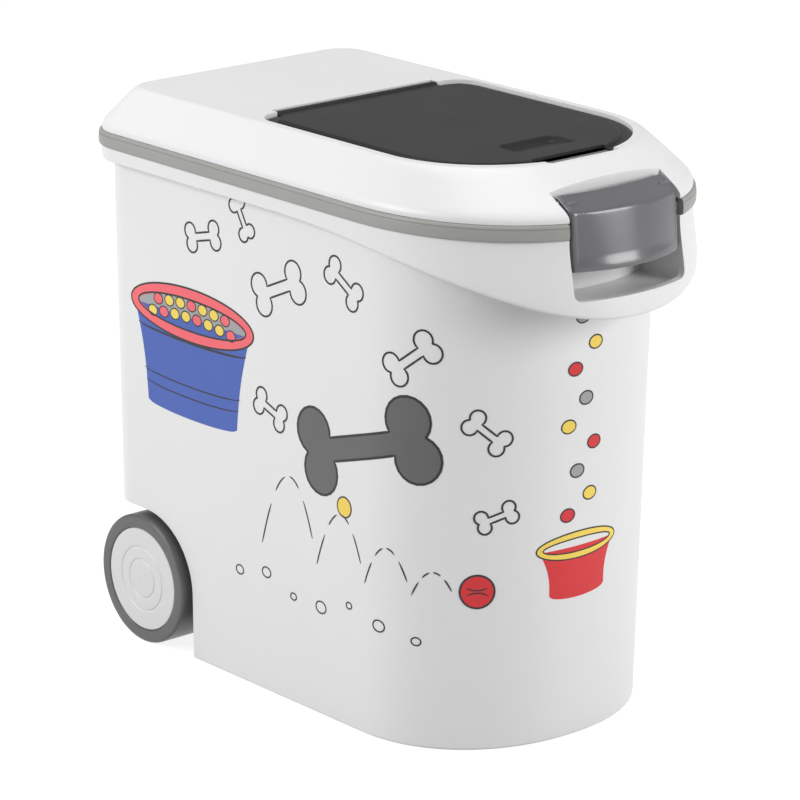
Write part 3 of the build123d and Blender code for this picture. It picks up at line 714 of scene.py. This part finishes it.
def on_wall(s, z, out):
    """The place on the wall of a drawn point, moved outward."""
    key = round(z * 2)
    if key not in TRACKS:
        TRACKS[key] = wall_track(key / 2)
    track, lengths = TRACKS[key]
    i = 0
    while i < len(track) - 2 and lengths[i + 1] < s:
        i += 1
    (x0, y0), (x1, y1) = track[i], track[i + 1]
    run = lengths[i + 1] - lengths[i]
    t = (s - lengths[i]) / run
    dx, dy = (x1 - x0) / run, (y1 - y0) / run
    return (lerp(x0, x1, t) + dy * out, lerp(y0, y1, t) - dx * out, z)


def film(name, colour, shapes, out):
    """Thin closed slabs that follow the wall, one for each shape, as one piece."""
    verts, faces = [], []
    for i, rows in enumerate(shapes):
        wide, tall, base = len(rows[0]), len(rows), len(verts)
        for level in (out + FILM_STEP * (i % 6), -FILM_SUNK):
            verts += [on_wall(s, z, level) for row in rows for s, z in row]
        under = wide * tall
        for r in range(tall - 1):
            for c in range(wide - 1):
                a = base + r * wide + c
                quad = (a, a + 1, a + wide + 1, a + wide)
                faces.append(quad)
                faces.append(tuple(v + under for v in reversed(quad)))
        loop = list(range(wide)) + [r * wide + wide - 1 for r in range(1, tall)]
        loop += [(tall - 1) * wide + c for c in range(wide - 2, -1, -1)]
        loop += [r * wide for r in range(tall - 2, 0, -1)]
        for a, b in zip(loop, loop[1:] + loop[:1]):
            faces.append((base + b, base + a, base + a + under, base + b + under))
    piece = mesh_object(name, verts, faces)
    shade(piece, 30)
    return place(piece, ink(name, colour), "tub", "tub_white")


def ink(name, colour):
    return plastic(name + "_ink", colour, 0.33, spread=0.05, grain=1200, bump=0.015)


def fine(points, step=2.5):
    """The same path with extra points, so that it bends with the wall."""
    path = [points[0]]
    for (s0, z0), (s1, z1) in zip(points, points[1:]):
        parts = max(1, round(sqrt((s1 - s0) ** 2 + (z1 - z0) ** 2) / step))
        path += [(lerp(s0, s1, i / parts), lerp(z0, z1, i / parts)) for i in range(1, parts + 1)]
    return path


def line(points, width=LINE):
    """Drawn line of even width; a path that returns to its start is closed."""
    points = fine(points)
    rows = []
    last = len(points) - 1
    closed = abs(points[0][0] - points[-1][0]) + abs(points[0][1] - points[-1][1]) < 0.01
    for i, (s, z) in enumerate(points):
        a = points[i - 1] if i else (points[-2] if closed else points[0])
        b = points[i + 1] if i < last else (points[1] if closed else points[-1])
        ds, dz = b[0] - a[0], b[1] - a[1]
        size = sqrt(ds * ds + dz * dz) or 1
        w = width / 2
        if not closed:
            w *= min(1, 0.35 + 4 * min(i, last - i) / last)
        rows.append([(s - dz / size * w, z + ds / size * w), (s + dz / size * w, z - ds / size * w)])
    return rows


def oval(s, z, rs, rz, steps=20, across=9):
    """Filled oval."""
    rows = []
    for i in range(steps + 1):
        a = radians(lerp(-88, 88, i / steps))
        high = rz * cos(a)
        rows.append([(s + rs * sin(a), z + lerp(-high, high, j / across)) for j in range(across + 1)])
    return rows


def ring(s, z, rs, rz, start=0.0, end=360.0, steps=40):
    """Path along an oval."""
    path = []
    for i in range(steps + 1):
        a = radians(lerp(start, end, i / steps))
        path.append((s + rs * cos(a), z + rz * sin(a)))
    return path


def bone(s, z, length, lobe, turn):
    """Closed outline path of a bone."""
    rise, shaft = 0.8 * lobe, 0.48 * lobe
    open_at = 180 + degrees(asin((rise - shaft) / lobe))
    notch = -degrees(asin(rise / lobe))
    path = []
    for end in (1, -1):
        for way in (1, -1):
            for i in range(15):
                a = radians(lerp(open_at, notch, i / 14) if way == 1 else -lerp(notch, open_at, i / 14))
                path.append((end * (length / 2 + lobe * cos(a)), end * (way * rise + lobe * sin(a))))
    path.append(path[0])
    c, d = cos(radians(turn)), sin(radians(turn))
    return [(s + x * c - y * d, z + x * d + y * c) for x, y in path]


def bone_fill(s, z, length, lobe, turn):
    """The bone's four lobes and its shaft, as filled shapes."""
    c, d = cos(radians(turn)), sin(radians(turn))
    shapes = []
    for end in (-1, 1):
        for way in (-1, 1):
            x, y = end * length / 2, way * 0.8 * lobe
            shapes.append(oval(s + x * c - y * d, z + x * d + y * c, lobe, lobe, 20, 10))
    rows = []
    for i in range(41):
        x = lerp(-length / 2, length / 2, i / 40)
        rows.append([(s + x * c - y * d, z + x * d + y * c)
                     for y in (lerp(-0.48 * lobe, 0.48 * lobe, j / 6) for j in range(7))])
    return shapes + [rows]


def bowl(s, z, half, tall, flare):
    """Filled bowl side, wider at the top, with slightly hollow sides."""
    rows = []
    for i in range(13):
        t = i / 12
        wide = half - flare * (1 - t) + 3 * sin(pi * t) * -1
        rows.append([(s + lerp(-wide, wide, j / 24), z + tall * t - 5 * sqrt(max(1 - (2 * j / 24 - 1) ** 2, 0)) * (1 - t))
                     for j in range(25)])
    return rows


def bounce(s0, s1, floor, high, steps=24):
    """One hop of a ball as a path."""
    return [(lerp(s0, s1, i / steps), floor + high * (1 - (2 * i / steps - 1) ** 2)) for i in range(steps + 1)]


def dashes(path, on=4, off=2):
    """The path broken into short strokes."""
    return [path[i:i + on + 1] for i in range(0, len(path) - on, on + off)]


BLUE, CORAL, PALE = (0.045, 0.105, 0.44), (0.89, 0.13, 0.155), (0.35, 0.35, 0.36)
SLATE = (0.115, 0.11, 0.115)
BLACK, RED, YELLOW = (0.008, 0.008, 0.009), (0.68, 0.022, 0.028), (0.91, 0.66, 0.10)


def make_print():
    """A large bowl, bones, kibble and a bouncing ball on the side, and a smaller bowl in front."""
    s, z = -205, 205
    blue = [bowl(s, z, 72, 78, 16)]
    coral = [line(ring(s, z + 80, 72, 17, steps=72), 9)]
    pale = [oval(s, z + 80, 70, 15, 36, 7)]
    yellow = []
    black = [line(ring(s, z + 80, 76.8, 21.5, steps=72)), line(ring(s, z + 80, 67.5, 12.8, steps=72))]
    for t in (0.22, 0.34, 0.8):
        wide = 72 - 16 * (1 - t)
        black.append(line(ring(s, z + 78 * t, wide - 1, 5, 186, 354), 1.1 if t < 0.5 else 1.8))
    for row in range(2):
        for i in range(8 - row):
            side = s - 49 + 14 * i + 7 * row
            lift = 74.5 + 10 * row + 3.5 * sin((i + row / 2) / 7 * pi)
            (coral if (i + row) % 3 == 1 else yellow).append(oval(side, z + lift, 5.6, 4.4, 12, 4))
            black.append(line(ring(side, z + lift, 5.6, 4.4, steps=24), 1.0))
    for cs, cz, size, lobe, turn in ((-98, 330, 44, 9.5, 24), (-22, 350, 30, 6.8, -32), (-108, 232, 26, 6.4, -20),
                                     (46, 306, 34, 7.6, 38), (104, 252, 26, 6.0, -40), (-142, 376, 24, 5.6, -60),
                                     (-190, 352, 30, 6.6, 14), (112, 186, 22, 5.2, 20)):
        black.append(line(bone(cs, cz, size, lobe, turn)))
    big = (-2, 228, 104, 19, 17)
    slate = bone_fill(*big)
    black.append(line(bone(*big), 2.0))
    hops = ((-118, -52, 122, 62), (-52, 4, 122, 47), (4, 48, 122, 33), (48, 82, 122, 20))
    for s0, s1, floor, high in hops:
        black += [line(p, 1.2) for p in dashes(bounce(s0, s1, floor, high))]
    red = [oval(98, 128, 13, 13, 18, 9)]
    black += [line(ring(98, 128, 13, 13)), line(ring(98, 141, 14, 12, 235, 305, 12), 1.1),
              line(ring(98, 115, 14, 12, 55, 125, 12), 1.1)]
    for i in range(7):
        side, up, size = -146 + 33 * i, 92 + 7 * sin(i * 1.9), 4.6 + 1.4 * sin(i * 2.7)
        black.append(line(ring(side, up, size, size * 0.8, steps=24), 1.1))
    s, z = 182, 118
    red.append(bowl(s, z, 36, 36, 9))
    yellow.append(line(ring(s, z + 37, 36, 8, steps=60), 5))
    black += [line(ring(s, z + 37, 38.8, 10.6, steps=60), 1.1), line(ring(s, z + 37, 33, 5.4, steps=60), 1.1)]
    falls = ((-12, 62, 0), (9, 76, 1), (-4, 96, 2), (12, 116, 0), (-13, 132, 1), (3, 152, 2), (-8, 176, 0),
             (11, 194, 1), (-2, 216, 2))
    for ds, dz, tint in falls:
        (red, yellow, pale)[tint].append(oval(s + ds, z + dz, 6.5, 5.2, 12, 4))
        black.append(line(ring(s + ds, z + dz, 6.5, 5.2, steps=24), 1.1))
    yellow.append(oval(-20, 176, 8, 8, 14, 6))
    black.append(line(ring(-20, 176, 8, 8, steps=30), 1.2))
    film("print_grey", PALE, pale, 0.10)
    film("print_slate", SLATE, slate, 0.14)
    film("print_blue", BLUE, blue, 0.14)
    film("print_coral", CORAL, coral, 0.18)
    film("print_red", RED, red, 0.14)
    film("print_yellow", YELLOW, yellow, 0.18)
    film("print_black", BLACK, black, 0.22)


# ------------------------------------------------------------------ flap and catch
def make_flap():
    bevel = [(RIM_TOP_Z, 0), (RIM_TOP_Z + 0.9, 0.15), (RIM_TOP_Z + 1.6, 0.6), (RIM_TOP_Z + 2.2, 1.3),
             (PANEL_Z, 2.3)]
    rings = [at(flap_plan(-10.5), PANEL_Z - 2.5), at(flap_plan(-10.5), FLAP_Z), at(flap_plan(0), FLAP_Z),
             at(flap_plan(0), RIM_TOP_Z)]
    rings += [at(flap_plan(-8 - inset), z) for z, inset in bevel]
    flap = skin("flap_panel", rings)
    strip = block("a", -80, 80, 58, FLAP_AXIS_Y, FLAP_Z, RIM_TOP_Z + 0.6)
    barrel = rod("a", -80, 80, FLAP_AXIS_Y, FLAP_AXIS_Z, 3.6)
    cup = prism("a", rounded(-31, 31, -153, -117, 6), PANEL_Z - 6.4, PANEL_Z - 1)
    join(flap, strip, barrel, cup)
    cut(flap, finger_dish(),
        prism("c", rounded(-36, 36, -230, -166.7, 3), FLAP_Z + 1.4, PANEL_Z + 9),
        block("c", -36, 36, -230, catch_high.y + 0.3, 300, PANEL_Z + 9),
        rod("c", -90, -73, FLAP_AXIS_Y, FLAP_AXIS_Z, 1.56), rod("c", 73, 90, FLAP_AXIS_Y, FLAP_AXIS_Z, 1.56))
    soften(flap, 0.7, 3, angle=34)
    return place(flap, DARK, "flap", "flap_dark", "flap")


def finger_dish():
    """Finger recess: a steep back and sides, and a floor that runs out to the front."""
    rings = []
    for depth, inset in ((-1, -2.4), (-0.1, -1.2), (0.08, -0.3), (0.3, 0.6), (0.7, 1.8), (0.92, 3.2), (1.0, 5.0)):
        points = rounded(-28 + inset, 28 - inset, -151 + inset, -120 - inset, 7 - min(inset, 3))

        def floor(x, y, depth=depth):
            deep = 4.2 * smooth((y + 152) / 20)
            return PANEL_Z - max(depth, 0) * deep if depth > 0 else PANEL_Z - depth * 2
        rings.append(at(points, floor))
    return skin("c", rings)


def make_catch():
    """Rounded bar with a fine parting groove across its middle, on a stem with snap heads."""
    half, deep, tall = 33.5, catch_high.y - catch_low.y, 8.3
    mid_y, mid_z = (catch_high.y + catch_low.y) / 2, catch_high.z - tall / 2
    stations = []
    for i in range(5):
        a = pi / 2 * i / 4
        stations.append((-half + 2.2 * (1 - cos(a)), 0.78 + 0.22 * sin(a)))
    stations += [(-0.5, 1.0), (-0.25, 0.93), (0.25, 0.93), (0.5, 1.0)]
    stations += [(-x, s) for x, s in reversed(stations[:5])]
    rings = []
    for x, size in stations:
        section = rounded(-deep / 2 * size, deep / 2 * size, -tall / 2 * size, tall / 2 * size, 3.4 * size)
        rings.append([(x, mid_y + u, mid_z + v) for u, v in section])
    bar = skin("catch_bar", rings)
    y0, y1 = catch_low.y + 2.9, catch_high.y - 2.8
    join(bar, block("a", -5, 5, y0, y1, catch_low.z + 1, mid_z),
         block("a", -8, 8, y0, y1, catch_low.z, catch_low.z + 2.6))
    soften(bar, 0.3, 2, angle=45)
    return place(bar, GREY, "flap_catch", "latch_grey", "flap_catch")


# ------------------------------------------------------------------ front latch
# Profile of the latch's face from the lower edge to the top edge: Y and Z of the middle, and
# how much further back the ends lie.
LATCH_ROWS = [(-244.6, 381.0, 13.0), (-236.9, 424.0, 9.2), (-218.8, 433.9, 6.0)]
LATCH_HALF = 52.0


def latch_point(x, row):
    y, z, bow = row
    return Vector((x, y + bow * (x / LATCH_HALF) ** 2, z))


def latch_profile():
    """Rows up the face with a rounded bend, each with its outward direction."""
    foot, bend, top = LATCH_ROWS
    rows = []

    def between(a, b, t):
        return tuple(lerp(u, v, t) for u, v in zip(a, b))
    for i in range(15):
        rows.append(between(foot, bend, 0.94 * i / 14))
    for i in range(1, 6):
        t = i / 6
        near, far = between(foot, bend, 0.94), between(bend, top, 0.14)
        rows.append(tuple((1 - t) ** 2 * a + 2 * t * (1 - t) * b + t * t * c
                          for a, b, c in zip(near, bend, far)))
    for i in range(7):
        rows.append(between(bend, top, 0.14 + 0.86 * i / 6))
    return rows


def make_latch():
    """Curved cover with a raised rim, a bead above the lower edge and side flanges."""
    rows = latch_profile()
    last = len(rows) - 1
    rings = []
    for i, row in enumerate(rows):
        below, above = rows[max(i - 1, 0)], rows[min(i + 1, last)]
        along = Vector((0, above[0] - below[0], above[1] - below[1])).normalized()
        outward = Vector((0, -along.z, along.y))
        flange = lerp(9.0, 3.4, smooth((row[1] - 425) / 9))
        sunk = 0.0 if i in (0, 2, last) else LATCH_SINK
        if i == 1:
            sunk = -0.35
        rings.append([latch_point(x, row) - outward * depth for x, depth in latch_section(flange, sunk)])
    cover = skin("latch_cover", rings)
    lumps = []
    for side in (-1, 1):
        x0, x1 = sorted((side * 41, side * 51.6))
        knuckle = rod("k", x0, x1, LATCH_AXIS_Y, LATCH_AXIS_Z, 3.5)
        join(knuckle, block("a", x0, x1, LATCH_AXIS_Y - 7.5, LATCH_AXIS_Y, LATCH_AXIS_Z - 1.3, LATCH_AXIS_Z + 1.3))
        cut(knuckle, rod("c", side * 55 - 20, side * 55 + 20, LATCH_AXIS_Y, LATCH_AXIS_Z, 1.25))
        lumps.append(knuckle)
    lumps.append(block("a", -15, 15, LATCH_ROWS[0][0] + 5.2, -224.3, 394.6, 398.6))
    merge(cover, *lumps)
    soften(cover, 0.35, 2, angle=40)
    return place(cover, GREY, "front_latch", "latch_grey", "front_latch")


LATCH_SINK = 0.5
LATCH_THICK = 2.0


def latch_section(flange, sunk):
    """One section across the latch as X and depth: out over the face, back along the inside."""
    half = LATCH_HALF
    edge = [(half, flange), (half, 5.0), (half, 1.6), (half - 0.4, 0.5), (half - 1.3, 0.0), (half - 2.6, 0.0),
            (half - 3.4, sunk * 0.6), (half - 4.4, sunk)]
    span = half - 7
    face = [(lerp(span, -span, i / 24), sunk) for i in range(25)]
    outer = edge + face + [(-x, d) for x, d in reversed(edge)]
    back, under = half - LATCH_THICK, LATCH_THICK + 0.5
    inner = [(-back, flange), (-back, under)]
    inner += [(lerp(-span, span, i / 24), under) for i in range(25)]
    inner += [(back, under), (back, flange)]
    return outer + inner


def merge(obj, *others):
    """Takes the other meshes into this one as they are."""
    out = bmesh.new()
    for piece in (obj, *others):
        out.from_mesh(piece.data)
    out.to_mesh(obj.data)
    out.free()
    for other in others:
        bpy.data.objects.remove(other)


# ------------------------------------------------------------------ wheels
def make_wheel(side, name):
    inner, outer = wheel_low.x, wheel_high.x
    recess, r = 42.3, WHEEL_R
    seat = outer - 9.0
    rim = [
        (inner, recess), (inner, r - 2.2), (inner + 0.7, r - 0.7), (inner + 2.2, r),
        (outer - 2.6, r), (outer - 1.2, r - 0.35), (outer - 0.35, r - 1.2), (outer, r - 2.6),
        (outer, recess + 1.2), (outer - 0.35, recess + 0.35), (outer - 1.2, recess), (seat, recess),
        (seat, 5.05), (inner, 5.05), (inner, 11), (seat - 3.2, 11), (seat - 3.2, recess),
    ]
    wheel = lathe("tyre_" + name, rim, WHEEL_Y, WHEEL_R, side)
    shade(wheel, 50)
    place(wheel, TYRE, "wheel_" + name, "wheel_grey", "wheel_" + name)
    face = cap_high.x
    cap = [(seat, 38.1), (seat, 42), (face - 0.9, 42), (face - 0.25, 41.75), (face, 41.1)]
    cap += ring_groove(face, 26.5) + ring_groove(face, 16.0)
    cap += [(face, 3.2), (face - 0.25, 2.9), (face - 0.3, 2.4), (face - 0.3, 0.01), (face - 4.2, 0.01),
            (face - 4.2, 38.1)]
    disc = lathe("cap_" + name, cap, WHEEL_Y, WHEEL_R, side)
    shade(disc, 60)
    place(disc, CAP, "wheel_" + name, "cap_white", "hub_cap_" + name)


def ring_groove(face, radius):
    """A shallow turned groove with soft shoulders."""
    rows = []
    for i in range(9):
        t = i / 8
        rows.append((face - 0.95 * sin(pi * t) ** 2, radius + 1.6 - 3.2 * t))
    return rows


# ------------------------------------------------------------------ stage, light, camera
def make_stage():
    size = 30000
    floor = mesh_object("floor", [(-size, -size, -0.05), (size, -size, -0.05), (size, size, -0.05),
                                  (-size, size, -0.05)], [(0, 1, 2, 3)])
    floor.data.materials.append(floor_material())


def lamp(name, where, aim, size, watts):
    data = bpy.data.lights.new(name, "AREA")
    data.shape = "RECTANGLE"
    data.size, data.size_y = size
    data.energy = watts
    obj = bpy.data.objects.new(name, data)
    obj.location = where
    obj.rotation_euler = (Vector(aim) - Vector(where)).to_track_quat("-Z", "Y").to_euler()
    bpy.context.scene.collection.objects.link(obj)


def make_lights():
    world = bpy.data.worlds.new("studio")
    world.use_nodes = True
    world.node_tree.nodes["Background"].inputs["Color"].default_value = (1, 1, 1, 1)
    world.node_tree.nodes["Background"].inputs["Strength"].default_value = WORLD_LIGHT
    bpy.context.scene.world = world
    middle = (0, 0, 0.25)
    lamp("key", (-2.3, 0.9, 1.3), middle, (1.2, 1.2), 39)
    lamp("front", (1.1, -2.3, 1.1), middle, (1.2, 1.2), 38)
    lamp("top", (0.1, 0.3, 2.4), middle, (1.4, 1.4), 17)


def make_camera():
    azimuth, elevation = radians(-40.69), radians(17.37)
    distance, target = 3.074, Vector((0, 0.01525, 0.212))
    back = Vector((sin(azimuth) * cos(elevation), -cos(azimuth) * cos(elevation), sin(elevation)))
    data = bpy.data.cameras.new("camera")
    data.sensor_width = 36
    data.lens = 177.7
    data.shift_x, data.shift_y = -0.0046, 0.0085
    camera = bpy.data.objects.new("camera", data)
    camera.location = target + back * distance
    camera.rotation_euler = (-back).to_track_quat("-Z", "Y").to_euler()
    bpy.context.scene.collection.objects.link(camera)
    bpy.context.scene.camera = camera


WORLD_LIGHT = 0.40

make_camera()
make_lights()
make_stage()
bpy.context.scene.view_settings.view_transform = "Standard"
make_band()
make_tub()
make_print()
make_lid()
make_flap()
make_catch()
make_latch()
make_wheel(1, "right")
make_wheel(-1, "left")
for node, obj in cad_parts.items():
    if "pin" in node or "clip" in node:
        obj.data.materials.clear()
        obj.data.materials.append(STEEL)
